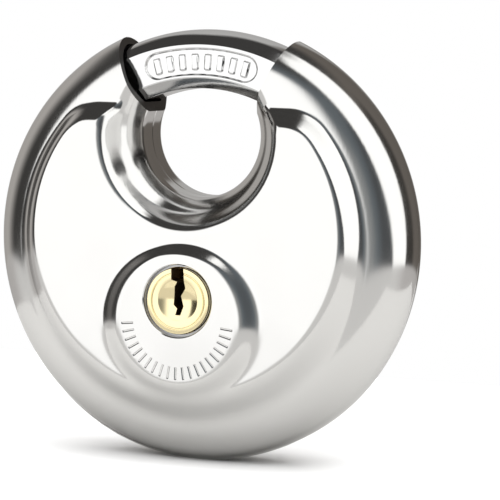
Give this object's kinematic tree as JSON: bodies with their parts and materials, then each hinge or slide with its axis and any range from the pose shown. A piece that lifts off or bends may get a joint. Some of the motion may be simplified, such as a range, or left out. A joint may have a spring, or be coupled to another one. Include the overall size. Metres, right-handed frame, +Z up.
{
  "type": "disc padlock",
  "caption": "Round steel padlock with a curved shackle that swings across a notch in its rim, and a brass key cylinder in a raised pad on its face.",
  "frame": {"origin": "on the disc's axis, at the flat back face", "axes": "+Z up, towards the shackle; -Y out of the front face with the keyway; +X to the right seen from the front"},
  "size_m": [0.07, 0.0236, 0.0684],
  "materials": {
    "stainless_shell": "pressed stainless steel, polished, with a fine brushed grain",
    "shackle_steel": "hardened steel, polished and chrome plated",
    "zinc_casting": "zinc die casting, bare and matt",
    "zinc_plated_steel": "steel, bright zinc plating",
    "hard_steel": "hardened steel, ground",
    "spring_steel": "spring wire",
    "brass_housing": "machined brass",
    "brass_plug": "pale brass, machined and polished",
    "brass_pins": "machined brass"
  },
  "bodies": {
    "body": {"front_shell": "stainless_shell", "back_shell": "stainless_shell", "front_frame": "zinc_casting", "rear_frame": "zinc_casting", "frame_screws": "zinc_plated_steel", "shackle_stops": "zinc_plated_steel", "cylinder_housing": "brass_housing", "drill_ring": "hard_steel", "chamber_cover": "brass_housing", "pin_spring_1": "spring_steel", "pin_spring_2": "spring_steel", "pin_spring_3": "spring_steel", "pin_spring_4": "spring_steel"},
    "shackle": {"shackle": "shackle_steel", "carrier_plate": "hard_steel", "carrier_rivets": "hard_steel"},
    "plug": {"plug": "brass_plug", "plug_driver": "hard_steel", "crank_pin": "hard_steel", "driver_screws": "zinc_plated_steel"},
    "key_pin_1": {"key_pin_1": "brass_pins"},
    "key_pin_2": {"key_pin_2": "brass_pins"},
    "key_pin_3": {"key_pin_3": "brass_pins"},
    "key_pin_4": {"key_pin_4": "brass_pins"},
    "driver_pin_1": {"driver_pin_1": "hard_steel"},
    "driver_pin_2": {"driver_pin_2": "hard_steel"},
    "driver_pin_3": {"driver_pin_3": "hard_steel"},
    "driver_pin_4": {"driver_pin_4": "hard_steel"}
  },
  "joints": [
    {"name": "shackle_turn", "type": "hinge", "parent": "body", "child": "shackle", "pos_m": [0, -0.011, 0], "axis": [0, 1, 0], "range_deg": [0, 64]},
    {"name": "plug_turn", "type": "hinge", "parent": "body", "child": "plug", "pos_m": [0, -0.011, -0.0087], "axis": [0, 1, 0], "range_deg": [0, 177.68]},
    {"name": "key_pin_1_drop", "type": "slide", "parent": "plug", "child": "key_pin_1", "axis": [0, 0, -1], "range_m": [0, 0.00225]},
    {"name": "key_pin_2_drop", "type": "slide", "parent": "plug", "child": "key_pin_2", "axis": [0, 0, -1], "range_m": [0, 0.00105]},
    {"name": "key_pin_3_drop", "type": "slide", "parent": "plug", "child": "key_pin_3", "axis": [0, 0, -1], "range_m": [0, 0.00165]},
    {"name": "key_pin_4_drop", "type": "slide", "parent": "plug", "child": "key_pin_4", "axis": [0, 0, -1], "range_m": [0, 0.00065]},
    {"name": "driver_pin_1_lift", "type": "slide", "parent": "body", "child": "driver_pin_1", "axis": [0, 0, 1], "range_m": [0, 0.0018], "stiffness_N_per_m": 150, "springref_m": -0.001, "deforming": ["pin_spring_1"]},
    {"name": "driver_pin_2_lift", "type": "slide", "parent": "body", "child": "driver_pin_2", "axis": [0, 0, 1], "range_m": [0, 0.0018], "stiffness_N_per_m": 150, "springref_m": -0.001, "deforming": ["pin_spring_2"]},
    {"name": "driver_pin_3_lift", "type": "slide", "parent": "body", "child": "driver_pin_3", "axis": [0, 0, 1], "range_m": [0, 0.0018], "stiffness_N_per_m": 150, "springref_m": -0.001, "deforming": ["pin_spring_3"]},
    {"name": "driver_pin_4_lift", "type": "slide", "parent": "body", "child": "driver_pin_4", "axis": [0, 0, 1], "range_m": [0, 0.0018], "stiffness_N_per_m": 150, "springref_m": -0.001, "deforming": ["pin_spring_4"]}
  ],
  "couplings": [
    {"joint": "plug_turn", "follows": "shackle_turn", "ratio": 2.7755}
  ]
}
